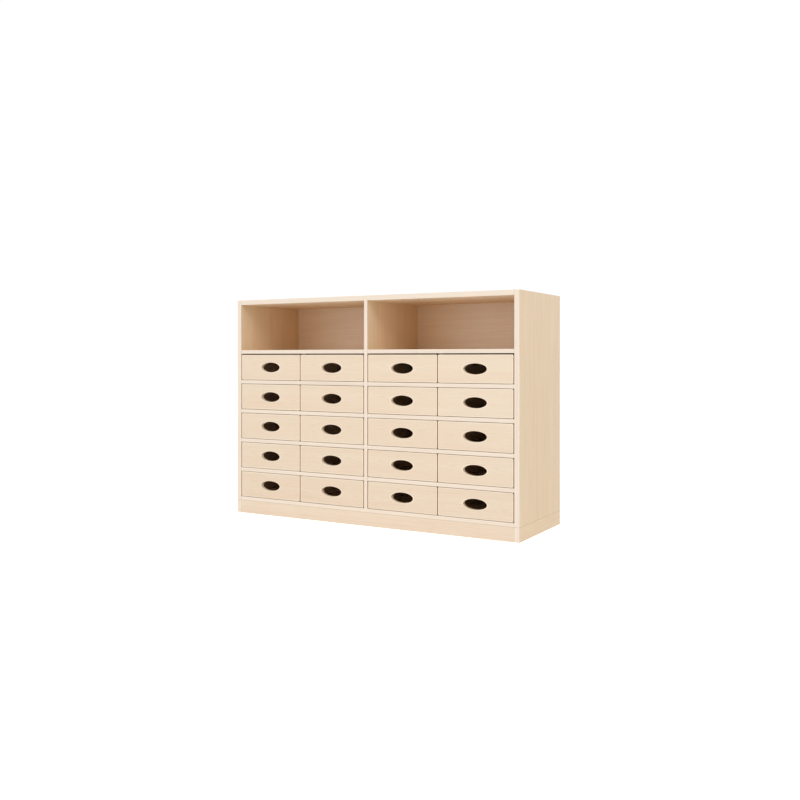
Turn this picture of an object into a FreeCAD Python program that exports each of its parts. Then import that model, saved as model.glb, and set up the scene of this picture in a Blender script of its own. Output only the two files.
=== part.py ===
import FreeCAD, Part
import Sketcher
import os

# Cubby storage unit in beech-laminated board: two open cubbies above twenty box
# drawers with oval finger holes, on a separate plinth frame.
# Millimetres. The front faces -Y and +Z is up. The origin is on the floor, under
# the middle of the footprint. Rows count from the top and columns from the left.

rows = 5
bays = (("left", -1), ("right", 1))
rail_dowel_shares = (-0.375, -0.125, 0.125, 0.375)

doc = FreeCAD.newDocument("StorageUnit")

# Driving sizes

sizes = (
    ("unit_width", 1200, "outside, across the front"),
    ("unit_depth", 390, "outside, front to back"),
    ("unit_height", 840, "floor to the upper face"),
    ("side_thickness", 18, "side panels and plinth sides"),
    ("top_thickness", 18, "top panel"),
    ("bottom_thickness", 14, "bottom panel"),
    ("shelf_thickness", 14, "every shelf"),
    ("divider_thickness", 14, "upright between the two bays"),
    ("partition_thickness", 14, "upright between two drawers of a pair"),
    ("band_thickness", 2, "edge bands on the front of the carcass"),
    ("back_thickness", 8, "back panel, and the depth of its rebate"),
    ("back_lap", 9, "how far the back panel lies over the sides and the top"),
    ("back_play", 0.5, "free edge round the back panel in its rebate"),
    ("plinth_height", 50, "plinth frame, and the underside of the carcass"),
    ("plinth_thickness", 18, "front and rear rails of the plinth"),
    ("drawer_opening", 101.2, "clear height of a drawer row"),
    ("top_row_extra", 2.9, "what the top row is higher than the others"),
    ("top_gap", 1.7, "drawer front to the shelf above it"),
    ("bottom_gap", 1.5, "drawer front to the shelf under it"),
    ("side_gap", 3.4, "drawer to the side panel or the divider"),
    ("middle_gap", 3.3, "between the two drawer fronts of a pair"),
    ("guide_gap", 1.5, "drawer box to the partition"),
    ("slide_gap", 0.3, "drawer box over the shelf that it slides on"),
    ("partition_inset", 12, "partitions behind the drawer fronts"),
    ("rear_gap", 0.5, "drawer box to the back panel that stops it"),
    ("front_thickness", 15, "drawer front"),
    ("front_corner_rounding", 3, "rounding of the drawer front's four corners"),
    ("front_rounding", 1, "rounding of the drawer front's outer edges"),
    ("finger_hole_width", 90, "oval finger hole, long axis"),
    ("finger_hole_height", 38, "oval finger hole, short axis"),
    ("finger_hole_rounding", 0.8, "rounding of the finger hole's two rims"),
    ("box_thickness", 12, "sides and back of a drawer box"),
    ("box_top_gap", 11.9, "drawer box to the shelf above it"),
    ("box_back_inset", 10, "back of a drawer box to the ends of its sides"),
    ("box_back_dado", 4, "depth of the dado that holds the box back"),
    ("front_dado", 5, "depth of the dados that hold the box sides in the front"),
    ("tray_thickness", 3, "bottom of a drawer box"),
    ("tray_height", 8, "lower edge of a drawer box to its bottom"),
    ("tray_groove", 5, "depth of the groove round a drawer bottom"),
    ("tray_play", 0.2, "free height over a drawer bottom in its groove"),
    ("tray_edge_play", 0.5, "drawer bottom's edge to the floor of its groove"),
    ("glue_gap", 0.1, "glue line beside a board in its dado"),
    ("dowel_diameter", 8, "beech dowels"),
    ("dowel_clearance", 0.1, "dowel to its hole, all round"),
    ("dowel_end_room", 0.5, "hole beyond each end of a dowel"),
    ("dowel_in_face", 10, "dowel's length in the face of a board"),
    ("dowel_in_edge", 20, "dowel's length in the edge of a board"),
    ("dowel_inset", 60, "carcass dowels to the ends of the joint"),
    ("plinth_dowel_inset", 100, "plinth side dowels to the ends of the joint"),
    ("screw_diameter", 3.5, "shank of a back panel screw"),
    ("screw_length", 25, "back panel screw, with its head"),
    ("screw_point", 4, "length of a back panel screw's point"),
    ("screw_clearance", 0.1, "screw to its hole, all round"),
    ("screw_head_diameter", 7, "countersunk head"),
    ("screw_head_height", 2, "countersunk head"),
    ("screw_slot_length", 4, "each of the two crossed slots in the head"),
    ("screw_slot_width", 0.9, "each of the two crossed slots in the head"),
    ("screw_slot_depth", 1.2, "each of the two crossed slots in the head"),
)

sheet = doc.addObject("Spreadsheet::Sheet", "Sizes")
for line, (alias, value, note) in enumerate(sizes, start=1):
    sheet.set(f"A{line}", alias)
    sheet.set(f"B{line}", str(value))
    sheet.setAlias(f"B{line}", alias)
    sheet.set(f"C{line}", note)
doc.recompute()

# Planes and widths that several boards share, as expressions of the sheet

front_plane = "(-Sizes.unit_depth / 2)"
rear_plane = "(Sizes.unit_depth / 2)"
inner_depth = "(Sizes.unit_depth - Sizes.back_thickness)"
inner_rear = f"({front_plane} + {inner_depth})"
side_face = "(Sizes.unit_width / 2 - Sizes.side_thickness)"
divider_face = "(Sizes.divider_thickness / 2)"
bay_width = f"({side_face} - {divider_face})"
bay_middle = f"({divider_face} + {bay_width} / 2)"
plinth_top = "Sizes.plinth_height"
bottom_face = f"({plinth_top} + Sizes.bottom_thickness)"
top_face = "(Sizes.unit_height - Sizes.top_thickness)"
lap_edge = f"({side_face} + Sizes.back_lap)"
lap_top = f"({top_face} + Sizes.back_lap)"

front_width = f"(({bay_width} - 2 * Sizes.side_gap - Sizes.middle_gap) / 2)"
front_height = "(Sizes.drawer_opening - Sizes.top_gap - Sizes.bottom_gap)"
box_setback = "(Sizes.partition_thickness / 2 + Sizes.guide_gap - Sizes.middle_gap / 2)"
drawer_length = f"({inner_depth} - Sizes.rear_gap)"
box_height = "(Sizes.drawer_opening - Sizes.slide_gap - Sizes.box_top_gap)"


def row_floor(row):
    """Upper face of the board that the drawers of a row slide on."""
    pitch = "(Sizes.drawer_opening + Sizes.shelf_thickness)"
    return f"({bottom_face} + {rows - row} * {pitch})"


def row_ceiling(row):
    """Underside of the shelf above a row."""
    extra = " + Sizes.top_row_extra" if row == 1 else ""
    return f"({row_floor(row)} + Sizes.drawer_opening{extra})"


# Building blocks

turned = {
    "X": FreeCAD.Rotation(FreeCAD.Vector(0, 1, 0), 90),
    "Y": FreeCAD.Rotation(FreeCAD.Vector(1, 0, 0), -90),
    "Z": FreeCAD.Rotation(),
}


def bind(obj, **expressions):
    """Binds each named property of an object to an expression."""
    for prop, expression in expressions.items():
        obj.setExpression(prop, expression)
    return obj


def place(obj, x, y, z, axis="Z"):
    """Binds the position of an object, and turns its own Z to an axis."""
    obj.Placement = FreeCAD.Placement(FreeCAD.Vector(), turned[axis])
    for letter, expression in zip("xyz", (x, y, z)):
        obj.setExpression(f"Placement.Base.{letter}", expression)
    return obj


def block(name, x, y, z, length, width, height):
    """A rectangular board, from its low corner and its sizes along X, Y and Z."""
    box = bind(doc.addObject("Part::Box", name), Length=length, Width=width, Height=height)
    return place(box, x, y, z)


def rod(name, axis, x, y, z, diameter, length):
    """A round rod that starts at a point and runs along an axis."""
    cylinder = doc.addObject("Part::Cylinder", name)
    bind(cylinder, Radius=f"{diameter} / 2", Height=length)
    return place(cylinder, x, y, z, axis)


def cone(name, z, low_diameter, high_diameter, height):
    """A cone on the Z axis, from the height of its low end."""
    taper = doc.addObject("Part::Cone", name)
    bind(taper, Radius1=f"{low_diameter} / 2", Radius2=f"{high_diameter} / 2", Height=height)
    return place(taper, "0", "0", z)


def group(name, members):
    """Separate solids held as one object."""
    compound = doc.addObject("Part::Compound", name)
    compound.Links = members
    return compound


def fused(name, members):
    """Several solids made one."""
    result = doc.addObject("Part::MultiFuse", name)
    result.Shapes = members
    return result


def cut(name, base, tools):
    """A board with what the tools take out of it."""
    result = doc.addObject("Part::Cut", name)
    result.Base = base
    result.Tool = tools[0] if len(tools) == 1 else group(f"{name}_tools", tools)
    return result


nodes = []


def node(name, obj):
    """Names an object as a sub-part that is written out."""
    obj.Label = name
    nodes.append(obj)
    return obj


bands = []


def banded(name, x, z, length, depth, height):
    """A carcass board of a full depth from the front, with an edge band along its front."""
    bands.append(block(f"{name}_band", x, front_plane, z, length, "Sizes.band_thickness", height))
    return block(f"{name}_blank", x, f"({front_plane} + Sizes.band_thickness)", z,
                 length, f"{depth} - Sizes.band_thickness", height)


# Dowels. Each is kept with the drill that makes its hole in both boards.

in_face = "Sizes.dowel_in_face"
in_edge = "Sizes.dowel_in_edge"
joint_front = f"({front_plane} + Sizes.dowel_inset)"
joint_middle = f"({front_plane} + {inner_depth} / 2)"
joint_rear = f"({inner_rear} - Sizes.dowel_inset)"

dowels = []
drills = {"left": [], "right": [], "divider": [], "partition": [], "plinth": []}


def dowel(joint, name, axis, point, before, after):
    """A dowel through a point, with its length before and after that point."""
    along = "XYZ".index(axis)
    start = list(point)
    start[along] = f"({point[along]} - {before})"
    mouth = list(point)
    mouth[along] = f"({point[along]} - {before} - Sizes.dowel_end_room)"
    length = f"({before} + {after})"
    bore = "(Sizes.dowel_diameter + 2 * Sizes.dowel_clearance)"
    dowels.append(rod(f"{name}_dowel", axis, *start, "Sizes.dowel_diameter", length))
    drills[joint].append(rod(f"{name}_drill", axis, *mouth, bore,
                             f"{length} + 2 * Sizes.dowel_end_room"))


def outward(sign, joint, name, y, z):
    """A dowel from the end of a board into the upright outside it, on the left or right."""
    if sign > 0:
        dowel(joint, name, "X", (side_face, y, z), in_edge, in_face)
    else:
        dowel(joint, name, "X", (f"(-{side_face})", y, z), in_face, in_edge)


shelf_middles = [f"({row_ceiling(row)} + Sizes.shelf_thickness / 2)" for row in range(1, rows + 1)]
outer_middles = [f"({plinth_top} + Sizes.bottom_thickness / 2)",
                 f"({top_face} + Sizes.top_thickness / 2)"]

for bay, sign in bays:
    for n, z in enumerate(shelf_middles):
        for m, y in enumerate((joint_front, joint_rear)):
            outward(sign, bay, f"{bay}_shelf_{n}_{m}", y, z)
    for n, z in enumerate(outer_middles):
        for m, y in enumerate((joint_front, joint_middle, joint_rear)):
            outward(sign, bay, f"{bay}_outer_{n}_{m}", y, z)

# The shelves of the two bays share dowels that go right through the divider.
through_divider = f"({divider_face} + {in_edge})"
for n, z in enumerate(shelf_middles):
    for m, y in enumerate((joint_front, joint_rear)):
        dowel("divider", f"divider_{n}_{m}", "X", ("0", y, z), through_divider, through_divider)
for m, y in enumerate((joint_front, joint_middle, joint_rear)):
    dowel("divider", f"divider_foot_{m}", "Z", ("0", y, bottom_face), in_face, in_edge)
    dowel("divider", f"divider_head_{m}", "Z", ("0", y, top_face), in_edge, in_face)

# The partitions of neighbouring rows share dowels that go right through the shelf.
through_shelf = f"(Sizes.shelf_thickness / 2 + {in_edge})"
for bay, sign in bays:
    x = f"({sign} * {bay_middle})"
    for m, y in enumerate((joint_front, joint_rear)):
        for n, z in enumerate(shelf_middles[1:]):
            dowel("partition", f"{bay}_partition_{n}_{m}", "Z", (x, y, z),
                  through_shelf, through_shelf)
        dowel("partition", f"{bay}_partition_foot_{m}", "Z", (x, y, bottom_face),
              in_face, in_edge)
        dowel("partition", f"{bay}_partition_head_{m}", "Z", (x, y, row_ceiling(1)),
              in_edge, in_face)

rail_middles = (f"({front_plane} + Sizes.plinth_thickness / 2)",
                f"({inner_rear} - Sizes.plinth_thickness / 2)")
plinth_side_joints = (f"({front_plane} + Sizes.plinth_dowel_inset)",
                      f"({rear_plane} - Sizes.plinth_dowel_inset)")
for bay, sign in bays:
    x = f"({sign} * ({side_face} + Sizes.side_thickness / 2))"
    for m, y in enumerate(plinth_side_joints):
        dowel("plinth", f"{bay}_plinth_side_{m}", "Z", (x, y, plinth_top), in_edge, in_edge)
    for m, y in enumerate(rail_middles):
        outward(sign, "plinth", f"{bay}_plinth_corner_{m}", y, f"({plinth_top} / 2)")
for n, share in enumerate(rail_dowel_shares):
    for m, y in enumerate(rail_middles):
        dowel("plinth", f"plinth_rail_{n}_{m}", "Z", (f"({share} * Sizes.unit_width)", y, plinth_top),
              in_edge, in_face)


# Screws of the back panel. The face of the head is at z = 0 and the point is below it.

def countersunk(name, play, length):
    """The shank and the head of a screw, larger all round by some play."""
    shank = f"(Sizes.screw_diameter + 2 * {play})"
    head = f"(Sizes.screw_head_diameter + 2 * {play})"
    return [rod(f"{name}_shank", "Z", "0", "0", f"-{length}", shank, length),
            cone(f"{name}_head", "-Sizes.screw_head_height", shank, head,
                 "Sizes.screw_head_height")]


shank_length = "(Sizes.screw_length - Sizes.screw_point)"
screw_tip = cone("screw_tip", "-Sizes.screw_length", "0", "Sizes.screw_diameter",
                 "Sizes.screw_point")
screw_blank = fused("screw_blank", [*countersunk("screw", "0", shank_length), screw_tip])
slot_end = "(-Sizes.screw_slot_length / 2)"
slot_side = "(-Sizes.screw_slot_width / 2)"
slots = [block("slot_across", slot_end, slot_side, "-Sizes.screw_slot_depth",
               "Sizes.screw_slot_length", "Sizes.screw_slot_width", "Sizes.screw_slot_depth"),
         block("slot_along", slot_side, slot_end, "-Sizes.screw_slot_depth",
               "Sizes.screw_slot_width", "Sizes.screw_slot_length", "Sizes.screw_slot_depth")]
screw = cut("screw", screw_blank, [fused("screw_slots", slots)])
screw_drill = fused("screw_drill", countersunk("drill", "Sizes.screw_clearance",
                                               "(Sizes.screw_length + Sizes.screw_clearance)"))

screws = []
screw_drills = []


def back_screw(name, x, z):
    """A screw from behind through the back panel, with its head flush in the panel."""
    screws.append(place(group(f"{name}_screw", [screw]), x, rear_plane, z, "Y"))
    screw_drills.append(place(group(f"{name}_screw_drill", [screw_drill]), x, rear_plane, z, "Y"))


lowest_screw = outer_middles[0]
highest_screw = f"({top_face} + Sizes.back_lap / 2)"
screw_column = f"({side_face} + Sizes.back_lap / 2)"
for n, z in enumerate((lowest_screw, *shelf_middles, highest_screw)):
    back_screw(f"left_{n}", f"(-{screw_column})", z)
    back_screw(f"middle_{n}", "0", z)
    back_screw(f"right_{n}", screw_column, z)
for n, z in enumerate((lowest_screw, highest_screw)):
    back_screw(f"left_bay_{n}", f"(-{bay_middle})", z)
    back_screw(f"right_bay_{n}", bay_middle, z)

# Carcass

for bay, sign in bays:
    outer = side_face if sign > 0 else "(-Sizes.unit_width / 2)"
    lap = side_face if sign > 0 else f"(-{lap_edge})"
    blank = banded(f"{bay}_side", outer, plinth_top, "Sizes.side_thickness", "Sizes.unit_depth",
                   f"Sizes.unit_height - {plinth_top}")
    rebate = block(f"{bay}_side_rebate", lap, inner_rear, plinth_top, "Sizes.back_lap",
                   "Sizes.back_thickness", f"{lap_top} - {plinth_top}")
    node(f"side_panel_{bay}", cut(f"{bay}_side", blank,
                                  [rebate, *drills[bay], *drills["plinth"], *screw_drills]))

inner_width = f"2 * {side_face}"
top_blank = banded("top", f"(-{side_face})", top_face, inner_width, "Sizes.unit_depth",
                   "Sizes.top_thickness")
top_rebate = block("top_rebate", f"(-{side_face})", inner_rear, top_face, inner_width,
                   "Sizes.back_thickness", "Sizes.back_lap")
node("top_panel", cut("top", top_blank, [top_rebate, *drills["left"], *drills["right"],
                                         *drills["divider"], *screw_drills]))

bottom_blank = banded("bottom", f"(-{side_face})", plinth_top, inner_width, inner_depth,
                      "Sizes.bottom_thickness")
node("bottom_panel", cut("bottom", bottom_blank, [drill for joint in drills.values()
                                                  for drill in joint] + screw_drills))

divider_blank = banded("divider", f"(-{divider_face})", bottom_face, "Sizes.divider_thickness",
                       inner_depth, f"{top_face} - {bottom_face}")
node("centre_divider", cut("divider", divider_blank, [*drills["divider"], *screw_drills]))

back_edge = f"({lap_edge} - Sizes.back_play)"
back_blank = block("back_blank", f"(-{back_edge})", inner_rear, plinth_top, f"2 * {back_edge}",
                   "Sizes.back_thickness", f"{lap_top} - Sizes.back_play - {plinth_top}")
node("back_panel", cut("back", back_blank, screw_drills))


def shelf(bay, sign, row):
    """The shelf above a row of drawers, in one bay."""
    start = divider_face if sign > 0 else f"(-{side_face})"
    blank = banded(f"{bay}_shelf_{row}", start, row_ceiling(row), bay_width, inner_depth,
                   "Sizes.shelf_thickness")
    return cut(f"{bay}_shelf_{row}", blank, [*drills[bay], *drills["divider"],
                                             *drills["partition"]])


for bay, sign in bays:
    node(f"cubby_shelf_{bay}", shelf(bay, sign, 1))
for row in range(2, rows + 1):
    pair = [shelf(bay, sign, row) for bay, sign in bays]
    node(f"drawer_shelves_under_row{row - 1}", group(f"shelves_{row}", pair))

partition_front = f"({front_plane} + Sizes.front_thickness + Sizes.partition_inset)"
partitions = []
for bay, sign in bays:
    for row in range(1, rows + 1):
        x = f"({sign} * {bay_middle} - Sizes.partition_thickness / 2)"
        blank = block(f"{bay}_partition_{row}_blank", x, partition_front, row_floor(row),
                      "Sizes.partition_thickness", f"{inner_rear} - {partition_front}",
                      f"{row_ceiling(row)} - {row_floor(row)}")
        partitions.append(cut(f"{bay}_partition_{row}", blank, drills["partition"]))
node("drawer_partitions", group("partitions", partitions))

# Plinth

for bay, sign in bays:
    outer = side_face if sign > 0 else "(-Sizes.unit_width / 2)"
    blank = banded(f"{bay}_plinth", outer, "0", "Sizes.side_thickness", "Sizes.unit_depth",
                   plinth_top)
    node(f"plinth_side_{bay}", cut(f"{bay}_plinth", blank, drills["plinth"]))
for name, y in (("front", front_plane), ("rear", f"({inner_rear} - Sizes.plinth_thickness)")):
    blank = block(f"plinth_{name}_blank", f"(-{side_face})", y, "0", inner_width,
                  "Sizes.plinth_thickness", plinth_top)
    node(f"plinth_{name}", cut(f"plinth_{name}_rail", blank, drills["plinth"]))

node("edge_bands", group("bands", bands))
node("dowels", group("all_dowels", dowels))
node("back_panel_screws", group("all_screws", screws))


# Drawers. Each is drawn once for the left and once for the right of a pair, about its own
# origin: the middle of the front's width, the face of the front and the floor of its row.

def sketch_on_front(body, name):
    """A sketch on the plane of the drawer front's face."""
    plane = next(item for item in body.Origin.OriginFeatures if item.Role == "XZ_Plane")
    sketch = body.newObject("Sketcher::SketchObject", name)
    sketch.AttachmentSupport = [(plane, "")]
    sketch.MapMode = "FlatFace"
    return sketch


def dimension(sketch, name, kind, places, expression):
    """A driving dimension bound to an expression."""
    now = sheet.evalExpression(expression)
    index = sketch.addConstraint(Sketcher.Constraint(kind, *places, now))
    sketch.renameConstraint(index, name)
    sketch.setExpression(f"Constraints.{name}", expression)


def edge_names(feature, chosen):
    """Names of the edges of a feature that a test picks."""
    return [f"Edge{n}" for n, edge in enumerate(feature.Shape.Edges, start=1) if chosen(edge)]


def fillet(body, name, base, edges, radius):
    """Rounds some edges of the last feature of a body."""
    rounding = body.newObject("PartDesign::Fillet", name)
    rounding.Base = (base, edges)
    bind(rounding, Radius=radius)
    doc.recompute()
    return rounding


def front_board():
    """The drawer front before its joints: a board with the oval hole and rounded edges."""
    body = doc.addObject("PartDesign::Body", "front_body")
    outline = sketch_on_front(body, "front_outline")
    half_width = sheet.evalExpression(f"{front_width} / 2")
    low = sheet.evalExpression("Sizes.bottom_gap")
    high = sheet.evalExpression(f"Sizes.bottom_gap + {front_height}")
    corners = [FreeCAD.Vector(-half_width, low, 0), FreeCAD.Vector(half_width, low, 0),
               FreeCAD.Vector(half_width, high, 0), FreeCAD.Vector(-half_width, high, 0)]
    for n, corner in enumerate(corners):
        outline.addGeometry(Part.LineSegment(corner, corners[n - 3]), False)
    for n in range(len(corners)):
        outline.addConstraint(Sketcher.Constraint("Coincident", n, 2, (n + 1) % 4, 1))
    for n, straight in enumerate(("Vertical", "Horizontal", "Vertical"), start=1):
        outline.addConstraint(Sketcher.Constraint(straight, n))
    outline.addConstraint(Sketcher.Constraint("Symmetric", 0, 1, 0, 2, -2))
    dimension(outline, "width", "DistanceX", (0, 1, 0, 2), front_width)
    dimension(outline, "height", "DistanceY", (1, 1, 1, 2), front_height)
    dimension(outline, "lift", "DistanceY", (-1, 1, 0, 1), "Sizes.bottom_gap")
    board = body.newObject("PartDesign::Pad", "front_board")
    board.Profile = outline
    board.Reversed = True
    bind(board, Length="Sizes.front_thickness")
    doc.recompute()

    near = sheet.evalExpression("Sizes.front_thickness / 2")
    corner_edges = edge_names(board, lambda edge: edge.BoundBox.YLength > near)
    rounded = fillet(body, "front_corners", board, corner_edges, "Sizes.front_corner_rounding")

    oval = sketch_on_front(body, "oval_outline")
    long_radius = sheet.evalExpression("Sizes.finger_hole_width / 2")
    short_radius = sheet.evalExpression("Sizes.finger_hole_height / 2")
    centre = FreeCAD.Vector(0, (low + high) / 2, 0)
    oval.addGeometry(Part.Ellipse(centre, long_radius, short_radius), False)
    oval.exposeInternalGeometry(0)
    oval.addConstraint(Sketcher.Constraint("PointOnObject", 0, 3, -2))
    oval.addConstraint(Sketcher.Constraint("Horizontal", 1))
    dimension(oval, "long_axis", "Distance", (1,), "Sizes.finger_hole_width")
    dimension(oval, "short_axis", "Distance", (2,), "Sizes.finger_hole_height")
    dimension(oval, "middle", "DistanceY", (-1, 1, 0, 3), f"Sizes.bottom_gap + {front_height} / 2")
    hole = body.newObject("PartDesign::Pocket", "oval_hole")
    hole.Profile = oval
    hole.Type = "ThroughAll"
    doc.recompute()
    if not hole.Shape.Volume < rounded.Shape.Volume:
        raise RuntimeError("the oval hole cuts nothing")

    rims = edge_names(hole, lambda edge: isinstance(edge.Curve, Part.Ellipse))
    eased = fillet(body, "oval_rims", hole, rims, "Sizes.finger_hole_rounding")
    arrises = edge_names(eased, lambda edge: isinstance(edge.Curve, Part.Line)
                         and edge.BoundBox.YMax < near)
    body.Tip = fillet(body, "front_edges", eased, arrises, "Sizes.front_rounding")
    return body


box_outer = f"({front_width} / 2)"
box_inner = f"({front_width} / 2 - {box_setback})"
outer_inside = f"(-{box_outer} + Sizes.box_thickness)"
inner_inside = f"({box_inner} - Sizes.box_thickness)"
side_start = "(Sizes.front_thickness - Sizes.front_dado)"
side_length = f"({drawer_length} - {side_start})"
back_start = f"({drawer_length} - Sizes.box_back_inset - Sizes.box_thickness)"
tray_floor = "(Sizes.slide_gap + Sizes.tray_height)"
groove_height = "(Sizes.tray_thickness + Sizes.tray_play)"


def hand_block(hand, name, low, high, y, z, width, height):
    """A board of a left drawer, from its low to its high x, or its mirror for a right one."""
    x = low if hand == "left" else f"(-{high})"
    return block(f"{hand}_{name}", x, y, z, f"{high} - {low}", width, height)


def drawer_front(hand, board):
    """The front with a dado for each box side and the groove for the tray."""
    dado_height = f"Sizes.slide_gap + {box_height} + Sizes.glue_gap"
    dados = [hand_block(hand, f"{name}_front_dado", low, high, side_start, "0",
                        "Sizes.front_dado", dado_height)
             for name, low, high in (
                 ("outer", f"(-{box_outer})", f"({outer_inside} + Sizes.glue_gap)"),
                 ("inner", f"({inner_inside} - Sizes.glue_gap)",
                  f"({box_inner} + Sizes.glue_gap)"))]
    groove = hand_block(hand, "front_groove", f"(-{box_outer})", box_inner,
                        "(Sizes.front_thickness - Sizes.tray_groove)", tray_floor,
                        "Sizes.tray_groove", groove_height)
    return cut(f"{hand}_front", board, [*dados, groove])


def box_side(hand, name, low, high, groove, dado):
    """A side of the box, grooved for the tray and with a dado for the box back."""
    blank = hand_block(hand, f"{name}_blank", low, high, side_start, "Sizes.slide_gap",
                       side_length, box_height)
    slit = hand_block(hand, f"{name}_groove", *groove, side_start, tray_floor, side_length,
                      groove_height)
    seat = hand_block(hand, f"{name}_dado", *dado, f"({back_start} - Sizes.glue_gap)",
                      "Sizes.slide_gap", "Sizes.box_thickness + 2 * Sizes.glue_gap",
                      box_height)
    return cut(f"{hand}_{name}", blank, [slit, seat])


def drawer_box(hand):
    """Two sides, a back and a tray, as four boards."""
    outer = box_side(hand, "outer_side", f"(-{box_outer})", outer_inside,
                     (f"({outer_inside} - Sizes.tray_groove)", outer_inside),
                     (f"({outer_inside} - Sizes.box_back_dado)", outer_inside))
    inner = box_side(hand, "inner_side", inner_inside, box_inner,
                     (inner_inside, f"({inner_inside} + Sizes.tray_groove)"),
                     (inner_inside, f"({inner_inside} + Sizes.box_back_dado)"))
    back_reach = "(Sizes.box_back_dado - Sizes.glue_gap)"
    back_ends = (f"({outer_inside} - {back_reach})", f"({inner_inside} + {back_reach})")
    blank = hand_block(hand, "box_back_blank", *back_ends, back_start, "Sizes.slide_gap",
                       "Sizes.box_thickness", box_height)
    groove = hand_block(hand, "box_back_groove", *back_ends, back_start, tray_floor,
                        "Sizes.tray_groove", groove_height)
    back = cut(f"{hand}_box_back", blank, [groove])
    tray_reach = "(Sizes.tray_groove - Sizes.tray_edge_play)"
    tray_start = f"(Sizes.front_thickness - {tray_reach})"
    tray = hand_block(hand, "tray", f"({outer_inside} - {tray_reach})",
                      f"({inner_inside} + {tray_reach})", tray_start, tray_floor,
                      f"{back_start} + {tray_reach} - {tray_start}", "Sizes.tray_thickness")
    return [outer, inner, back, tray]


plain_front = front_board()
fronts = {hand: drawer_front(hand, plain_front) for hand in ("left", "right")}
boxes = {hand: drawer_box(hand) for hand in ("left", "right")}

# Column number, the bay's side of the unit, and the drawer's place in its pair
columns = ((1, -1, "left"), (2, -1, "right"), (3, 1, "left"), (4, 1, "right"))
pair_step = f"((Sizes.middle_gap + {front_width}) / 2)"
for row in range(1, rows + 1):
    for column, sign, hand in columns:
        step = "-" if hand == "left" else "+"
        position = (f"{sign} * {bay_middle} {step} {pair_step}", front_plane, row_floor(row))
        label = f"row{row}_col{column}"
        node(f"drawer_front_{label}", place(group(f"front_{label}", [fronts[hand]]), *position))
        node(f"drawer_box_{label}", place(group(f"box_{label}", boxes[hand]), *position))

# Checks and files

doc.recompute()
faulty = [obj.Name for obj in doc.Objects if {"Invalid", "Error"} & set(obj.State)]
if faulty:
    raise RuntimeError(f"these objects failed: {faulty}")
for obj in nodes:
    if obj.Shape.isNull() or not obj.Shape.isValid() or not obj.Shape.Solids:
        raise RuntimeError(f"{obj.Label} has no valid shape")

os.makedirs("parts", exist_ok=True)
for obj in nodes:
    obj.Shape.exportStep(os.path.join("parts", f"{obj.Label}.step"))
print(f"{len(nodes)} nodes, {sum(len(obj.Shape.Solids) for obj in nodes)} solids")
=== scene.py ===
import bpy
import math
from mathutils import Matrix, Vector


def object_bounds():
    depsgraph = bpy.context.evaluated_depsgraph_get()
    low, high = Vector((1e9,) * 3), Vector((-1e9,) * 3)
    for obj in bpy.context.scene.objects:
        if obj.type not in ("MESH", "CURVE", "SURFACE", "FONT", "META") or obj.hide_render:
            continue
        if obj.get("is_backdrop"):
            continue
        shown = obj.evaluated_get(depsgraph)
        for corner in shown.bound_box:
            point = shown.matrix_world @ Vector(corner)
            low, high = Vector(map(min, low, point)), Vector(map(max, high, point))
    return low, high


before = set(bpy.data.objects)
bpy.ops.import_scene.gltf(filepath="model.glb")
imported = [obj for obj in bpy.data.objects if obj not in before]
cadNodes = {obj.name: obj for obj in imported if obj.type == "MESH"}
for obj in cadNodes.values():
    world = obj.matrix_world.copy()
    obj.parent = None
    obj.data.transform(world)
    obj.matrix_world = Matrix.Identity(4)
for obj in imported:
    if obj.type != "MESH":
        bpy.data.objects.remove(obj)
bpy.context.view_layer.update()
print("frame loaded,", len(cadNodes), "parts")


def srgb(red, green, blue):
    # 0 to 255 as a paint chart gives it, to the linear values that a shader takes
    linear = [(c / 255 / 12.92) if c <= 10 else ((c / 255 + 0.055) / 1.055) ** 2.4
              for c in (red, green, blue)]
    return (*linear, 1.0)


# camera, as the photograph was taken: level, turned to the left, framed a little low

photoCamera = {
    "place": (1.7365, -2.9634, 0.6157),
    "levelDegrees": 90,
    "turnDegrees": 29.95,
    "sensorMm": 36,
    "lensMm": 40.34,
    "shiftRight": 0.0009,
    "shiftDown": 0.0537,
}
bpy.ops.object.camera_add(location=photoCamera["place"],
                          rotation=(math.radians(photoCamera["levelDegrees"]), 0,
                                    math.radians(photoCamera["turnDegrees"])))
camera = bpy.context.object
camera.name = "photoCamera"
camera.data.sensor_width = photoCamera["sensorMm"]
camera.data.lens = photoCamera["lensMm"]
camera.data.shift_x = photoCamera["shiftRight"]
camera.data.shift_y = -photoCamera["shiftDown"]
bpy.context.scene.camera = camera
print("camera set")


# small helpers for shader trees; x and y only place a node in the editor

def addNode(tree, kind, x, y, **settings):
    made = tree.nodes.new(kind)
    made.location = (x, y)
    for name, value in settings.items():
        setattr(made, name, value)
    return made


def mathNode(tree, operation, x, y, first, second=None, third=None, clamp=False):
    made = addNode(tree, "ShaderNodeMath", x, y, operation=operation, use_clamp=clamp)
    for slot, value in enumerate((first, second, third)):
        if value is None:
            continue
        if isinstance(value, (int, float)):
            made.inputs[slot].default_value = value
        else:
            tree.links.new(value, made.inputs[slot])
    return made.outputs[0]


def mapRange(tree, value, x, y, low, high, toLow=0.0, toHigh=1.0):
    made = addNode(tree, "ShaderNodeMapRange", x, y)
    for name, number in (("From Min", low), ("From Max", high),
                         ("To Min", toLow), ("To Max", toHigh)):
        made.inputs[name].default_value = number
    tree.links.new(value, made.inputs["Value"])
    return made.outputs[0]


def mixColour(tree, x, y, share, first, second, blend="MIX"):
    made = addNode(tree, "ShaderNodeMix", x, y, data_type="RGBA", blend_type=blend,
                   clamp_factor=True)
    for slot, value in ((0, share), (6, first), (7, second)):
        if isinstance(value, (int, float, tuple)):
            made.inputs[slot].default_value = value
        else:
            tree.links.new(value, made.inputs[slot])
    return made.outputs[2]


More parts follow.
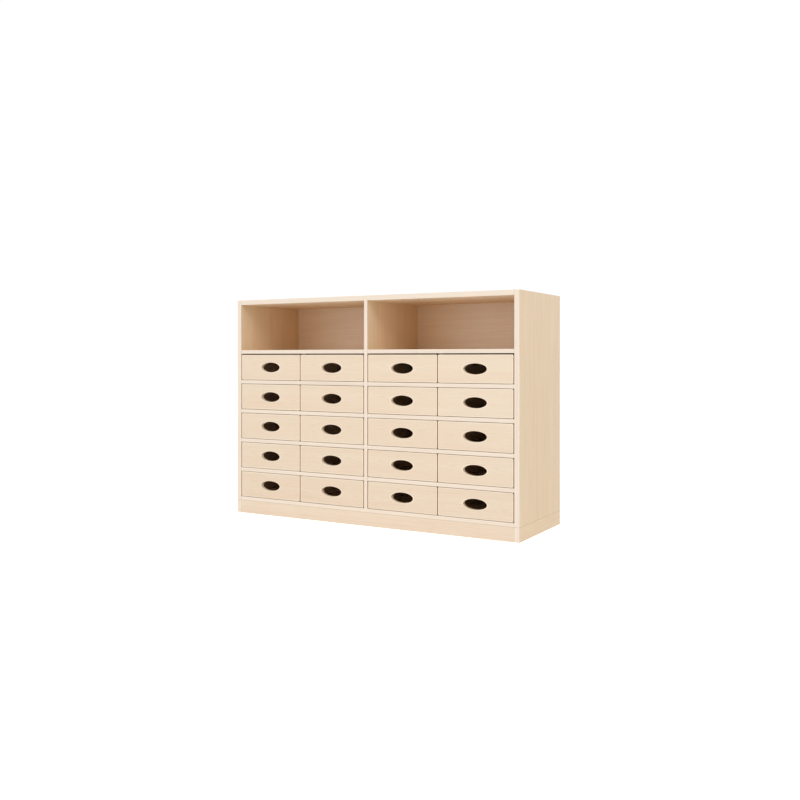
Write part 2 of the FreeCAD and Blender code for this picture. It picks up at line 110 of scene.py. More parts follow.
def mixTint(tree, x, y, share, body, tint):
    tinted = mixColour(tree, x, y - 200, 1.0, body, tint, "MULTIPLY")
    return mixColour(tree, x, y, share, body, tinted)


def mixVector(tree, x, y, share, first, second):
    made = addNode(tree, "ShaderNodeMix", x, y, data_type="VECTOR")
    tree.links.new(share, made.inputs["Factor"])
    tree.links.new(first, made.inputs[4])
    tree.links.new(second, made.inputs[5])
    return made.outputs[1]


def splitAxes(tree, x, y, output):
    # the three axes of the object's coordinates or of its normal
    place = addNode(tree, "ShaderNodeTexCoord", x, y)
    parts = addNode(tree, "ShaderNodeSeparateXYZ", x + 180, y)
    tree.links.new(place.outputs[output], parts.inputs[0])
    return parts.outputs


def objectAxes(tree, x, y):
    return splitAxes(tree, x, y, "Object")


def newMaterial(name):
    made = bpy.data.materials.new(name)
    made.use_nodes = True
    tree = made.node_tree
    tree.nodes.clear()
    output = addNode(tree, "ShaderNodeOutputMaterial", 900, 0)
    surface = addNode(tree, "ShaderNodeBsdfPrincipled", 600, 0)
    tree.links.new(surface.outputs[0], output.inputs["Surface"])
    return made, tree, surface


# what the wood reads from its place on the unit, in metres

carcass = {
    "side": 0.591, "top": 0.831,        # inside the side panels and the top panel
    "panelBlend": 0.004,
    "front": -0.195, "deep": 0.15,      # where the painted depth shade starts, and where it is full
    "bayMiddle": 0.2945,
    "backFace": (0.188, 0.194),         # from inside the back panel to its rear face
    "plinthTop": 0.05,
    "sideInner": 0.582,
}


def heightUp(tree):
    return objectAxes(tree, -900, 2200)["Z"]


def acrossBay(tree):
    # from the middle of the cubby to the right; the rear of the back panel counts as far right
    axes = objectAxes(tree, -1400, 2200)
    bay = mathNode(tree, "SIGN", -1000, 2200, axes["X"])
    across = mathNode(tree, "MULTIPLY_ADD", -800, 2200, bay, -carcass["bayMiddle"], axes["X"])
    rear = mapRange(tree, axes["Y"], -1000, 2400, *carcass["backFace"])
    return mathNode(tree, "ADD", -600, 2200, across, rear)


def paintedDepthShadeShare(tree, x, y):
    # painted shade: rises from 0 at the front to 1 at the back of the cubbies,
    # and stays 0 on the outside
    axes = objectAxes(tree, x, y)
    reach = mathNode(tree, "ABSOLUTE", x + 350, y, axes["X"])
    within = [mapRange(tree, value, x + 500, y - 200 * n, face - carcass["panelBlend"],
                       face + carcass["panelBlend"], 1.0, 0.0)
              for n, (value, face) in enumerate(((reach, carcass["side"]),
                                                 (axes["Z"], carcass["top"])))]
    inward = mapRange(tree, axes["Y"], x + 500, y - 400, carcass["front"], carcass["deep"])
    inside = mathNode(tree, "MULTIPLY", x + 650, y, *within)
    return mathNode(tree, "MULTIPLY", x + 800, y, inside, inward)


# hairlines where two boards or two bands meet; the core is the share of a line that is full

hairline = {"half": 0.0009, "plinthHalf": 0.0012, "core": 0.4, "depth": 0.5}
plinthJoint = ("Z", carcass["plinthTop"], hairline["half"])


def jointShare(tree, x, y, lines):
    # 1 on a hairline; a line is (axis, distance from the middle, half width)
    axes = objectAxes(tree, x, y)
    share = None
    for row, (axis, distance, half) in enumerate(lines):
        level = y - row * 160
        reach = mathNode(tree, "ABSOLUTE", x + 360, level, axes[axis])
        away = mathNode(tree, "ABSOLUTE", x + 640, level,
                        mathNode(tree, "SUBTRACT", x + 500, level, reach, distance))
        near = mapRange(tree, away, x + 800, level, half * hairline["core"], half, 1.0, 0.0)
        share = near if share is None else mathNode(tree, "MAXIMUM", x + 980, level, share, near)
    return share


# painted highlights on edges, and the faces cut across the grain, told by the cosine of a face's
# turn

edgeHighlight = {"samples": 6, "flat": 0.995, "highlightedEdge": 0.90, "patchLeast": 0.6}
endFaces = {"from": 0.8, "soft": (0.75, 0.95)}


def edgeHighlightShare(tree, x, y, width):
    # 1 on an arris or a rim and 0 on a flat face
    soft = addNode(tree, "ShaderNodeBevel", x, y, samples=edgeHighlight["samples"])
    soft.inputs["Radius"].default_value = width
    flat = addNode(tree, "ShaderNodeNewGeometry", x, y - 150)
    dot = addNode(tree, "ShaderNodeVectorMath", x + 200, y, operation="DOT_PRODUCT")
    tree.links.new(soft.outputs[0], dot.inputs[0])
    tree.links.new(flat.outputs["True Normal"], dot.inputs[1])
    return mapRange(tree, dot.outputs["Value"], x + 400, y, edgeHighlight["flat"], edgeHighlight["highlightedEdge"])


def facingShare(tree, x, y, axis):
    # how far a face looks along an axis, from either side
    return mathNode(tree, "ABSOLUTE", x + 360, y, splitAxes(tree, x, y, "Normal")[axis])


def endShare(tree, x, y, grain):
    # 1 on the faces that cut across the grain
    return mapRange(tree, facingShare(tree, x, y, grain), x + 520, y, *endFaces["soft"])


# the figure of the wood; a noise is (per metre along, across, detail, roughness, seed)

woodNoise = {
    "wander": (3.5, 16, 2.0, 0.5, 4.1),
    "fibre": (30, 1500, 2.0, 0.6, 5.2),
    "fleck": (110, 1300, 1.0, 0.5, 7.7),
    "broad": (2.0, 0.55, 1.3),     # the first two numbers of these come from the look
    "lines": (3.0, 0.6, 2.9),
    "seedStep": (1.0, 1.7, 0.6),
}
woodShares = {
    "warm": (0.35, 0.68), "lines": (0.5, 0.72), "fibre": (0.4, 0.75), "fleck": (0.66, 0.72),
    "patchy": (0.3, 0.6),
}
woodGloss = {"lines": 0.12, "fleck": 0.10, "middle": 0.11}
woodRelief = {"lines": 0.5, "height": 0.00015}
grainTurns = {"X": (0, 0, 0), "Y": (0, 0, -90), "Z": (0, 90, 0)}


def grainSpace(tree, grain, endGrain):
    # object coordinates turned so that x runs along the grain; end faces read the other way
    place = addNode(tree, "ShaderNodeTexCoord", -2400, 0)
    turned = []
    for row, axis in enumerate((grain, endGrain)):
        turn = addNode(tree, "ShaderNodeMapping", -2200, -row * 400)
        turn.inputs["Rotation"].default_value = [math.radians(d) for d in grainTurns[axis]]
        tree.links.new(place.outputs["Object"], turn.inputs["Vector"])
        turned.append(turn.outputs[0])
    facing = facingShare(tree, -2400, 300, grain)
    endFace = mathNode(tree, "GREATER_THAN", -1850, 300, facing, endFaces["from"])
    return mixVector(tree, -1700, 0, endFace, *turned)


def stretchedNoise(tree, vector, x, y, along, across, detail, roughness, seed):
    scaled = addNode(tree, "ShaderNodeMapping", x, y)
    scaled.inputs["Scale"].default_value = (along, across, across)
    scaled.inputs["Location"].default_value = [seed * step for step in woodNoise["seedStep"]]
    tree.links.new(vector, scaled.inputs["Vector"])
    noise = addNode(tree, "ShaderNodeTexNoise", x + 200, y)
    noise.inputs["Scale"].default_value = 1.0
    noise.inputs["Detail"].default_value = detail
    noise.inputs["Roughness"].default_value = roughness
    tree.links.new(scaled.outputs[0], noise.inputs["Vector"])
    return noise.outputs[0]


def figureLines(tree, vector, x, y, look):
    # growth rings cut by the face: long nested tongues, broken by a slow waviness
    middle = addNode(tree, "ShaderNodeMapping", x, y)
    middle.inputs["Location"].default_value = look["figureMiddle"]
    middle.inputs["Scale"].default_value = look["figureScale"]
    tree.links.new(vector, middle.inputs["Vector"])
    reach = addNode(tree, "ShaderNodeVectorMath", x + 200, y, operation="LENGTH")
    tree.links.new(middle.outputs[0], reach.inputs[0])
    wander = stretchedNoise(tree, vector, x, y - 350, *woodNoise["wander"])
    bent = mathNode(tree, "MULTIPLY_ADD", x + 450, y, wander, look["figureWander"],
                    reach.outputs["Value"])
    if "figureTaper" in look:
        # the rings open along the board from their waist
        axes = addNode(tree, "ShaderNodeSeparateXYZ", x, y + 300)
        tree.links.new(vector, axes.inputs[0])
        away = mathNode(tree, "SUBTRACT", x + 150, y + 300, axes.outputs[0], look["figureWaist"])
        run = mathNode(tree, "ABSOLUTE", x + 300, y + 300, away)
        bent = mathNode(tree, "MULTIPLY_ADD", x + 500, y + 200, run, -look["figureTaper"], bent)
    rings = mathNode(tree, "MULTIPLY", x + 520, y - 120, bent, look["figureRings"])
    wave = mathNode(tree, "SINE", x + 600, y, rings)
    return mapRange(tree, wave, x + 760, y, look["figureSharp"], 1.0)


def woodMaterial(name, look):
    made, tree, surface = newMaterial(name)
    vector = (look["space"](tree) if "space" in look
              else grainSpace(tree, look["grain"], look["endGrain"]))
    figureVector = look["figureSpace"](tree) if "figureSpace" in look else vector
    broad = stretchedNoise(tree, vector, -1400, 600, look["broadAlong"], look["broadAcross"],
                           *woodNoise["broad"])
    lines = stretchedNoise(tree, vector, -1400, 200, look["lineAlong"], look["lineAcross"],
                           *woodNoise["lines"])
    fibre = stretchedNoise(tree, vector, -1400, -200, *woodNoise["fibre"])
    fleck = stretchedNoise(tree, vector, -1400, -600, *woodNoise["fleck"])
    figure = figureLines(tree, figureVector, -1400, -1100, look)

    # the wood's own colour
    dark = srgb(*look["dark"])
    warm = mapRange(tree, broad, -900, 600, *woodShares["warm"])
    body = mixColour(tree, -700, 500, warm, srgb(*look["light"]), srgb(*look["warm"]))
    lineShare = mapRange(tree, lines, -900, 200, *woodShares["lines"], 0.0, look["lineDepth"])
    body = mixColour(tree, -500, 400, lineShare, body, dark)
    figureShare = mathNode(tree, "MULTIPLY", -500, 0, figure, look["figureDepth"])
    body = mixColour(tree, -300, 300, figureShare, body, dark)
    fibreShare = mapRange(tree, fibre, -900, -200, *woodShares["fibre"], 0.0, look["fibreDepth"])
    body = mixColour(tree, -100, 200, fibreShare, body, dark)
    fleckShare = mapRange(tree, fleck, -900, -600, *woodShares["fleck"], 0.0, look["fleckDepth"])
    body = mixColour(tree, 100, 100, fleckShare, body, srgb(*look["fleck"]))

    # painted shade by the place on the unit, painted edge highlights, end faces, marks and joints
    # painted shade: the inside of the cubbies turns darker and warmer towards the back
    if "paintedDepthShade" in look:
        body = mixTint(tree, 200, -200, paintedDepthShadeShare(tree, -900, 1200), body, look["paintedDepthShade"])
    if "paintedShadeRamp" in look:
        # painted shade: a tint that grows along a ramp of height or of place in the bay
        place, low, high, tint = look["paintedShadeRamp"]
        paintedShadeRamp = mapRange(tree, place(tree), -300, 2200, low, high)
        body = mixTint(tree, 250, 900, paintedShadeRamp, body, tint)
    # painted highlight: arrises and rims turn paler, in patches
    highlightedEdge = look["rims"](tree) if "rims" in look else edgeHighlightShare(tree, -300, -800, look["edgeHighlightWidth"])
    patchy = mapRange(tree, broad, -300, -1100, *woodShares["patchy"],
                      look["edgeHighlightDepth"], look["edgeHighlightDepth"] * edgeHighlight["patchLeast"])
    edgeHighlightMix = mathNode(tree, "MULTIPLY", 200, -800, highlightedEdge, patchy)
    body = mixColour(tree, 300, 0, edgeHighlightMix, body, srgb(*look["edge"]))
    if "endGrainAndGapShadeDepth" in look:
        # end faces: darker end grain, deepened into a painted shade for the gaps between fronts
        ends = mathNode(tree, "MULTIPLY", 100, 900, endShare(tree, -900, 1500, look["grain"]),
                        look["endGrainAndGapShadeDepth"])
        body = mixColour(tree, 350, 500, ends, body, srgb(*look["endGrainAndGapShade"]))
    if "shade" in look:
        body = look["shade"](tree, body)
    if "jointLines" in look:
        joints = mathNode(tree, "MULTIPLY", 350, 300,
                          jointShare(tree, -900, 1800, look["jointLines"]), hairline["depth"])
        body = mixColour(tree, 450, 200, joints, body, srgb(*look["jointColour"]))
    tree.links.new(body, surface.inputs["Base Color"])

    # satin gloss and a shallow relief
    sheen = mathNode(tree, "ADD", -300, -400,
                     mathNode(tree, "MULTIPLY", -450, -400, lines, woodGloss["lines"]),
                     mathNode(tree, "MULTIPLY", -450, -520, fleck, woodGloss["fleck"]))
    roughness = mathNode(tree, "ADD", -100, -400, sheen, look["roughness"] - woodGloss["middle"],
                         clamp=True)
    tree.links.new(roughness, surface.inputs["Roughness"])
    relief = mathNode(tree, "ADD", -300, -600,
                      mathNode(tree, "MULTIPLY", -450, -640, lines, woodRelief["lines"]),
                      mathNode(tree, "SUBTRACT", -450, -760, fibre, fleck))
    bump = addNode(tree, "ShaderNodeBump", 300, -600)
    bump.inputs["Strength"].default_value = look["relief"]
    bump.inputs["Distance"].default_value = woodRelief["height"]
    tree.links.new(relief, bump.inputs["Height"])
    tree.links.new(bump.outputs[0], surface.inputs["Normal"])
    return made


# carcass boards: light beech with a clear satin finish

beechLook = {
    "light": (240, 220, 195), "warm": (238, 216, 190), "dark": (214, 184, 150),
    "fleck": (203, 168, 130), "edge": (246, 232, 214), "jointColour": (150, 120, 90),
    "broadAlong": 1.2, "broadAcross": 30,
    "lineAlong": 5, "lineAcross": 190, "lineDepth": 0.28,
    "fibreDepth": 0.10, "fleckDepth": 0.28,
    "figureMiddle": (-0.4, 0.02, 0.0), "figureScale": (0.16, 1.0, 1.0),
    "figureRings": 240, "figureWander": 0.05, "figureDepth": 0.05, "figureSharp": 0.1,
    "roughness": 0.46, "relief": 0.25,
    # painted highlight on the arrises
    "edgeHighlightWidth": 0.0012, "edgeHighlightDepth": 0.35,
}
outerUprightLook = {
    **beechLook,
    "light": (246, 221, 187), "warm": (242, 215, 180),
    "jointLines": (plinthJoint,),
    # painted shade: darker towards the bottom
    "paintedShadeRamp": (heightUp, 0.76, 0.45, (0.965, 0.955, 0.93, 1.0)),
}
uprightLook = {
    **outerUprightLook,
    # painted shade: darker and warmer deeper in the cubbies
    "grain": "Z", "endGrain": "Y", "paintedDepthShade": (0.97, 0.88, 0.77, 1.0),
}
levelLook = {
    **beechLook,
    "light": (248, 229, 203), "warm": (246, 225, 198),
    # painted shade: darker and warmer deeper in the cubbies
    "grain": "X", "endGrain": "Y", "paintedDepthShade": (1.0, 0.90, 0.775, 1.0),
}
plinthLook = {
    **beechLook,
    "light": (237, 218, 195), "warm": (234, 213, 189),
    "grain": "X", "endGrain": "Z",
    "jointLines": (plinthJoint, ("X", carcass["sideInner"], hairline["plinthHalf"])),
}
plinthSideLook = {**outerUprightLook, "grain": "Y", "endGrain": "Z"}
backLook = {
    **beechLook,
    "light": (243, 221, 198), "warm": (240, 216, 192), "dark": (217, 187, 157),
    "fleck": (206, 173, 140), "edgeHighlightDepth": 0.2,
    "grain": "X", "endGrain": "Z",
    # painted shade: warmer and darker towards the left wall of each bay
    "paintedShadeRamp": (acrossBay, -0.02, -0.22, (1.03, 0.96, 0.85, 1.0)),
}
uprightBeech = woodMaterial("uprightBeech", uprightLook)
levelBeech = woodMaterial("levelBeech", levelLook)
plinthBeech = woodMaterial("plinthBeech", plinthLook)
plinthSideBeech = woodMaterial("plinthSideBeech", plinthSideLook)
backBeech = woodMaterial("backBeech", backLook)
print("board finishes made")


# drawer fronts: the figure repeats with the drawers, as boards cut one after the other

drawerGrid = {
    "pairStep": 0.142875, "lowestFloor": 0.064, "pitch": 0.1152, "holeMiddle": 0.0505,
    "frontHalfWidth": 0.141225, "frontHalfHeight": 0.049,
    "holeHalfWidth": 0.045, "holeHalfHeight": 0.019,
}
frontMarks = {
    # a rim starts, is full, fades and is gone
    "faceRim": (0.0002, 0.0006, 0.0016, 0.0036),    # metres inside the outline
    "holeRim": (1.01, 1.03, 1.06, 1.14),            # times the size of the hole
    "paintedWallLightReach": (1.01, 1.03),
    "cornerReach": 0.0034, "cornerFull": 0.8,
}


def drawerAxes(tree, x, y):
    # along the drawer and up it, from the middle of its finger hole
    axes = objectAxes(tree, x, y)
    bay = mathNode(tree, "SIGN", x + 360, y, axes["X"])
    inBay = mathNode(tree, "MULTIPLY_ADD", x + 520, y, bay, -carcass["bayMiddle"], axes["X"])
    hand = mathNode(tree, "SIGN", x + 680, y, inBay)
    along = mathNode(tree, "MULTIPLY_ADD", x + 840, y, hand, -drawerGrid["pairStep"], inBay)
    lifted = mathNode(tree, "SUBTRACT", x + 360, y - 200, axes["Z"], drawerGrid["lowestFloor"])
    inRow = mathNode(tree, "MODULO", x + 520, y - 200, lifted, drawerGrid["pitch"])
    up = mathNode(tree, "SUBTRACT", x + 680, y - 200, inRow, drawerGrid["holeMiddle"])
    return along, up


def frontReaches(tree, x, y):
    # how far a point lies from the middle of the front, beside the half size that it has there
    along, up = drawerAxes(tree, x, y)
    return [(drawerGrid[half], mathNode(tree, "ABSOLUTE", x + 1040, y - 200 * n, value))
            for n, (half, value) in enumerate((("frontHalfWidth", along), ("frontHalfHeight", up)))]


def drawerSpace(tree):
    along, up = drawerAxes(tree, -3600, -1400)
    joined = addNode(tree, "ShaderNodeCombineXYZ", -2000, -1400)
    tree.links.new(along, joined.inputs[0])
    tree.links.new(up, joined.inputs[2])
    return joined.outputs[0]


def holeReach(tree, x, y):
    # 1 on the wall of the finger hole, and more outside it
    along, up = drawerAxes(tree, x, y)
    scaled = [mathNode(tree, "DIVIDE", x + 1200, y, along, drawerGrid["holeHalfWidth"]),
              mathNode(tree, "DIVIDE", x + 1200, y - 200, up, drawerGrid["holeHalfHeight"])]
    squares = [mathNode(tree, "MULTIPLY", x + 1360, y - 200 * n, value, value)
               for n, value in enumerate(scaled)]
    return mathNode(tree, "SQRT", x + 1680, y, mathNode(tree, "ADD", x + 1520, y, *squares))


def rimShare(tree, x, y, value, rim):
    start, full, fade, gone = rim
    return mathNode(tree, "MULTIPLY", x + 200, y, mapRange(tree, value, x, y, start, full),
                    mapRange(tree, value, x, y - 200, fade, gone, 1.0, 0.0))


def rimHighlights(tree):
    # painted highlight on the rim of the face and of its hole, but not on the walls beside them
    inset = [mathNode(tree, "SUBTRACT", -2400, -2200 - 200 * n, half, reach)
             for n, (half, reach) in enumerate(frontReaches(tree, -3600, -2400))]
    distance = mathNode(tree, "MINIMUM", -2240, -2300, *inset)
    faceRim = rimShare(tree, -1900, -2200, distance, frontMarks["faceRim"])
    holeRim = rimShare(tree, -1900, -2600, holeReach(tree, -3600, -2900), frontMarks["holeRim"])
    return mathNode(tree, "MAXIMUM", -1500, -2500, faceRim, holeRim)


def paintedHoleWallLight(tree, body):
    # painted light: the wall of the hole is made paler than the face
    wall = mapRange(tree, holeReach(tree, -3600, -3400), -1700, -3400, *frontMarks["paintedWallLightReach"],
                    drawerFrontLook["paintedWallLightDepth"], 0.0)
    return mixColour(tree, 400, -200, wall, body, srgb(*drawerFrontLook["wall"]))


def paintedCornerShadeOnWalls(tree, body):
    # painted shade: the end walls turn dark near the front's corners
    outer, full = frontMarks["cornerReach"], frontMarks["cornerReach"] * frontMarks["cornerFull"]
    nearCorner = [mapRange(tree, reach, -2400, -4200 - 200 * n, half - outer, half - full)
                  for n, (half, reach) in enumerate(frontReaches(tree, -3600, -4200))]
    inCorner = mathNode(tree, "MULTIPLY", -2200, -4300, *nearCorner)
    offFace = mathNode(tree, "SUBTRACT", -2200, -4700, 1.0, endShare(tree, -3600, -4700, "Y"))
    onWall = mathNode(tree, "MULTIPLY", -2000, -4500, inCorner, offFace)
    paintedCornerShade = mathNode(tree, "MULTIPLY", -1800, -4500, onWall, drawerFrontLook["paintedCornerShadeDepth"])
    return mixColour(tree, 500, -300, paintedCornerShade, body, srgb(*drawerFrontLook["paintedCornerShade"]))


def paintedWallLightAndShade(tree, body):
    # painted light on the hole's wall, then painted shade at the front's corners
    return paintedCornerShadeOnWalls(tree, paintedHoleWallLight(tree, body))


drawerFrontLook = {
    **beechLook,
    "light": (234, 216, 192), "warm": (232, 211, 186), "dark": (217, 183, 155),
    # painted highlight on the rims of the face and of its hole
    "edge": (254, 238, 216), "edgeHighlightDepth": 0.75, "rims": rimHighlights,
    "grain": "X", "endGrain": "Z", "lineDepth": 0.2,
    # end grain, partly a painted shade for the gaps between fronts
    "endGrainAndGapShadeDepth": 0.9, "endGrainAndGapShade": (217, 171, 118),
    "figureSpace": drawerSpace, "figureMiddle": (0.0, 0.011, -0.011),
    "figureScale": (0.0, 1.0, 1.0), "figureTaper": 0.075, "figureWaist": -0.30,
    "figureRings": 898, "figureWander": 0.012, "figureDepth": 0.16, "figureSharp": 0.3,
    # painted light on the wall of the finger hole
    "shade": paintedWallLightAndShade, "wall": (254, 232, 203), "paintedWallLightDepth": 1.0,
    # painted shade on the end walls near the front's corners
    "paintedCornerShade": (132, 92, 60), "paintedCornerShadeDepth": 0.85,
}
besideFigure = {"figureMiddle": (0.0, 0.0, -0.12), "figureTaper": 0.02}
drawerCuts = {
    # where in the log a front was cut, and which fronts; all others are pointed
    "Pointed": {"fronts": ()},
    "Waisted": {"figureWaist": 0.0, "figureMiddle": (0.0, 0.011, 0.012),
                "fronts": ("row2_col1", "row5_col2", "row5_col3", "row5_col4")},
    "Straight": {**besideFigure, "figureRings": 1400,
                 "fronts": ("row2_col2", "row3_col1", "row3_col4")},
    "Plain": {**besideFigure, "figureDepth": 0.03, "fronts": ("row1_col4", "row2_col4")},
}
drawerFrontBeech = {cut: woodMaterial("drawerFront" + cut, {**drawerFrontLook, **look})
                    for cut, look in drawerCuts.items()}

drawerBoxLook = {
    **beechLook,
    "light": (249, 227, 203), "warm": (244, 217, 189), "dark": (218, 184, 150),
    "grain": "Y", "endGrain": "X",
}
drawerBoxBeech = woodMaterial("drawerBoxBeech", drawerBoxLook)
print("drawer finishes made")


# edge bands: paler, with long lines, and a painted shade that darkens them towards the top

bandPlaces = {
    "sideFrom": 0.5821, "dividerTo": 0.0071,        # distances from the middle of the unit
    "dividerMiddle": 0.443, "dividerHalf": 0.379,   # heights
    "levelEnds": 0.5813, "dividerEnds": 0.0078,     # where the level bands stop
}


def betweenTopAndBottom(tree, x, y, height):
    return mathNode(tree, "COMPARE", x, y, height, bandPlaces["dividerMiddle"],
                    bandPlaces["dividerHalf"])


def bandSpace(tree):
    # the grain of a band runs along it: up on the sides and the divider, across on the others
    axes = objectAxes(tree, -3200, 400)
    reach = mathNode(tree, "ABSOLUTE", -2840, 400, axes["X"])
    onSides = mathNode(tree, "GREATER_THAN", -2680, 400, reach, bandPlaces["sideFrom"])
    nearMiddle = mathNode(tree, "LESS_THAN", -2680, 250, reach, bandPlaces["dividerTo"])
    onDivider = mathNode(tree, "MULTIPLY", -2520, 250, nearMiddle,
                         betweenTopAndBottom(tree, -2680, 100, axes["Z"]))
    upright = mathNode(tree, "MAXIMUM", -2360, 400, onSides, onDivider)
    return mixVector(tree, -1700, 0, upright, grainSpace(tree, "X", "Z"),
                     grainSpace(tree, "Z", "X"))


def dividerJoints(tree, body):
    # the hairlines where the level bands stop against the divider's
    ends = jointShare(tree, -900, 2600, (("X", bandPlaces["dividerEnds"], hairline["half"]),))
    between = betweenTopAndBottom(tree, -500, 2900, objectAxes(tree, -900, 2900)["Z"])
    onShelves = mathNode(tree, "MULTIPLY", -300, 2700, ends, between)
    share = mathNode(tree, "MULTIPLY", -100, 2700, onShelves, hairline["depth"])
    return mixColour(tree, 400, 1100, share, body, srgb(*bandLook["jointColour"]))


bandLook = {
    **beechLook,
    "light": (242, 227, 209), "warm": (240, 224, 205), "dark": (226, 205, 182),
    "fleck": (224, 202, 176),
    "space": bandSpace, "lineAlong": 1.5, "lineAcross": 150, "lineDepth": 0.5,
    # painted shade: darker towards the top of the unit
    "paintedShadeRamp": (heightUp, 0.10, 0.83, (0.945, 0.94, 0.935, 1.0)),
    "shade": dividerJoints,
    "jointLines": (plinthJoint, ("X", bandPlaces["levelEnds"], hairline["half"])),
}
edgeBand = woodMaterial("paleEdgeBand", bandLook)
print("band finish made")


# fixings: beech dowels and zinc-plated screws

dowelLook = {**drawerBoxLook, "grain": "X", "endGrain": "Y", "edgeHighlightDepth": 0.2}
dowelBeech = woodMaterial("dowelBeech", dowelLook)

zincLook = {
    "bright": (196, 199, 203), "dull": (150, 153, 158),
    "grainsPerMetre": 900, "spread": (0.3, 0.7), "roughness": (0.28, 0.44),
    "relief": 0.15, "reliefHeight": 0.0001,
}
zinc, zincTree, zincSurface = newMaterial("zincPlate")
zincPlace = addNode(zincTree, "ShaderNodeTexCoord", -900, 0)
zincNoise = addNode(zincTree, "ShaderNodeTexNoise", -700, 0)
zincNoise.inputs["Scale"].default_value = zincLook["grainsPerMetre"]
zincTree.links.new(zincPlace.outputs["Object"], zincNoise.inputs["Vector"])
zincColour = mixColour(zincTree, -300, 100, zincNoise.outputs[0], srgb(*zincLook["bright"]),
                       srgb(*zincLook["dull"]))
zincTree.links.new(zincColour, zincSurface.inputs["Base Color"])
zincRoughness = mapRange(zincTree, zincNoise.outputs[0], -300, -100, *zincLook["spread"],
                         *zincLook["roughness"])
zincTree.links.new(zincRoughness, zincSurface.inputs["Roughness"])
zincBump = addNode(zincTree, "ShaderNodeBump", 100, -300)
zincBump.inputs["Strength"].default_value = zincLook["relief"]
zincBump.inputs["Distance"].default_value = zincLook["reliefHeight"]
zincTree.links.new(zincNoise.outputs[0], zincBump.inputs["Height"])
zincTree.links.new(zincBump.outputs[0], zincSurface.inputs["Normal"])
zincSurface.inputs["Metallic"].default_value = 1.0
print("fixing finishes made")


# which finish a part gets, by how its name starts; the first that fits counts

frontFinishes = {"drawer_front_" + front: drawerFrontBeech[cut]
                 for cut, look in drawerCuts.items() for front in look["fronts"]}
finishes = {
    **frontFinishes, "drawer_front_": drawerFrontBeech["Pointed"], "drawer_box_": drawerBoxBeech,
    "side_panel_": uprightBeech, "centre_divider": uprightBeech, "drawer_partitions": uprightBeech,
    "top_panel": levelBeech, "bottom_panel": levelBeech, "cubby_shelf_": levelBeech,
    "drawer_shelves_": levelBeech, "plinth_front": plinthBeech, "plinth_rear": plinthBeech,
    "plinth_side_": plinthSideBeech, "back_panel_screws": zinc, "back_panel": backBeech,
    "edge_bands": edgeBand, "dowels": dowelBeech,
}
for name, node in cadNodes.items():
    finish = next(material for start, material in finishes.items() if name.startswith(start))
    for slot in node.material_slots:
        slot.material = finish
print("finishes on")


# eased arrises on the carcass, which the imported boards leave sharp

easedEdges = {
    "boards": ("side_panel_", "top_panel", "plinth_side_", "plinth_front", "back_panel"),
    "leftSharp": "back_panel_screws",
    "weldDistance": 0.000005,
    "width": 0.0004,
    "segments": 2,
    "fromDegrees": 60,
}
for name, node in cadNodes.items():
    if name.startswith(easedEdges["boards"]) and name != easedEdges["leftSharp"]:
        weld = node.modifiers.new("weld", "WELD")
        weld.merge_threshold = easedEdges["weldDistance"]
        ease = node.modifiers.new("ease", "BEVEL")
        ease.width = easedEdges["width"]
        ease.segments = easedEdges["segments"]
        ease.limit_method = "ANGLE"
        ease.angle_limit = math.radians(easedEdges["fromDegrees"])
print("arrises eased")


# room: a white floor that keeps a faint shadow, a white surround, and soft lamps

room = {
    "floorSize": 60,
    "floorColour": (238, 238, 238),
    "floorRoughness": 0.9,
    "floorGlow": 0.60,
    "skyLevel": 0.73,
    "backdropLevel": 1.03,
    "white": (1, 1, 1, 1),
}


def seenShare(tree, x, y):
    # 1 for what the camera sees, straight or by a gloss or through glass
    rays = addNode(tree, "ShaderNodeLightPath", x - 200, y)
    mirrored = mathNode(tree, "MAXIMUM", x - 100, y - 150, rays.outputs["Is Glossy Ray"],
                        rays.outputs["Is Transmission Ray"])
    return mathNode(tree, "MAXIMUM", x, y, rays.outputs["Is Camera Ray"], mirrored)


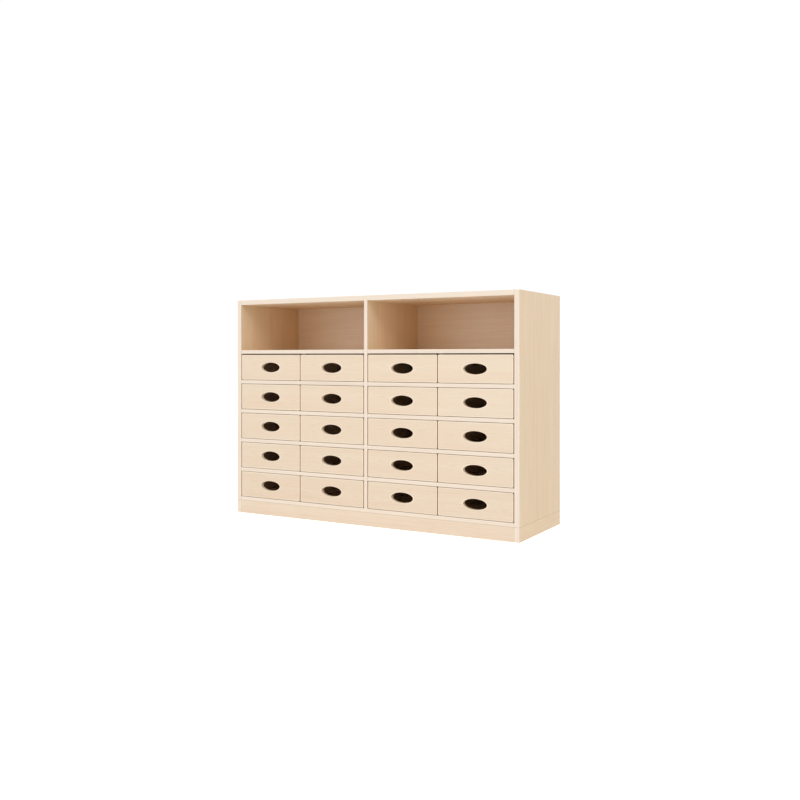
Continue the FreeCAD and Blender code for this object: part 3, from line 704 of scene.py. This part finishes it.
bpy.ops.object.select_all(action="DESELECT")
bpy.ops.mesh.primitive_plane_add(size=room["floorSize"], location=(0, 0, 0))
floor = bpy.context.object
floor.name = "floor"
floor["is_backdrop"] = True
floorMaterial, floorTree, floorSurface = newMaterial("floorPaint")
floorSurface.inputs["Base Color"].default_value = srgb(*room["floorColour"])
floorSurface.inputs["Roughness"].default_value = room["floorRoughness"]
floorGlow = addNode(floorTree, "ShaderNodeEmission", 300, -300)
glowLevel = mathNode(floorTree, "MULTIPLY", 200, 200, seenShare(floorTree, 100, 300),
                     room["floorGlow"])
floorTree.links.new(glowLevel, floorGlow.inputs["Strength"])
floorSum = addNode(floorTree, "ShaderNodeAddShader", 800, -200)
floorTree.links.new(floorSurface.outputs[0], floorSum.inputs[0])
floorTree.links.new(floorGlow.outputs[0], floorSum.inputs[1])
floorOut = next(n for n in floorTree.nodes if n.type == "OUTPUT_MATERIAL")
floorTree.links.new(floorSum.outputs[0], floorOut.inputs[0])
floor.data.materials.append(floorMaterial)

world = bpy.data.worlds.new("studio")
bpy.context.scene.world = world
world.use_nodes = True
worldTree = world.node_tree
worldTree.nodes.clear()
worldOut = addNode(worldTree, "ShaderNodeOutputWorld", 600, 0)
worldMix = addNode(worldTree, "ShaderNodeMixShader", 400, 0)
worldTree.links.new(seenShare(worldTree, 0, 300), worldMix.inputs[0])
for slot, level in enumerate(("skyLevel", "backdropLevel"), start=1):
    worldLight = addNode(worldTree, "ShaderNodeBackground", 200, 300 - 200 * slot)
    worldLight.inputs["Color"].default_value = room["white"]
    worldLight.inputs["Strength"].default_value = room[level]
    worldTree.links.new(worldLight.outputs[0], worldMix.inputs[slot])
worldTree.links.new(worldMix.outputs[0], worldOut.inputs[0])

lamps = {
    "keyLamp": {"place": (-1.67, -4.60, 1.46), "size": 3.4, "watts": 42},
    "fillLamp": {"place": (2.20, -3.14, 3.63), "size": 2.4, "watts": 54},
}
for name, lamp in lamps.items():
    bpy.ops.object.light_add(type="AREA", location=lamp["place"])
    light = bpy.context.object
    light.name = name
    light.data.size = lamp["size"]
    light.data.energy = lamp["watts"]
    aim = (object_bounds()[0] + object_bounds()[1]) / 2 - light.location
    light.rotation_euler = aim.to_track_quat("-Z", "Y").to_euler()
bpy.context.scene.view_settings.view_transform = "Standard"
print("room and lamps set")
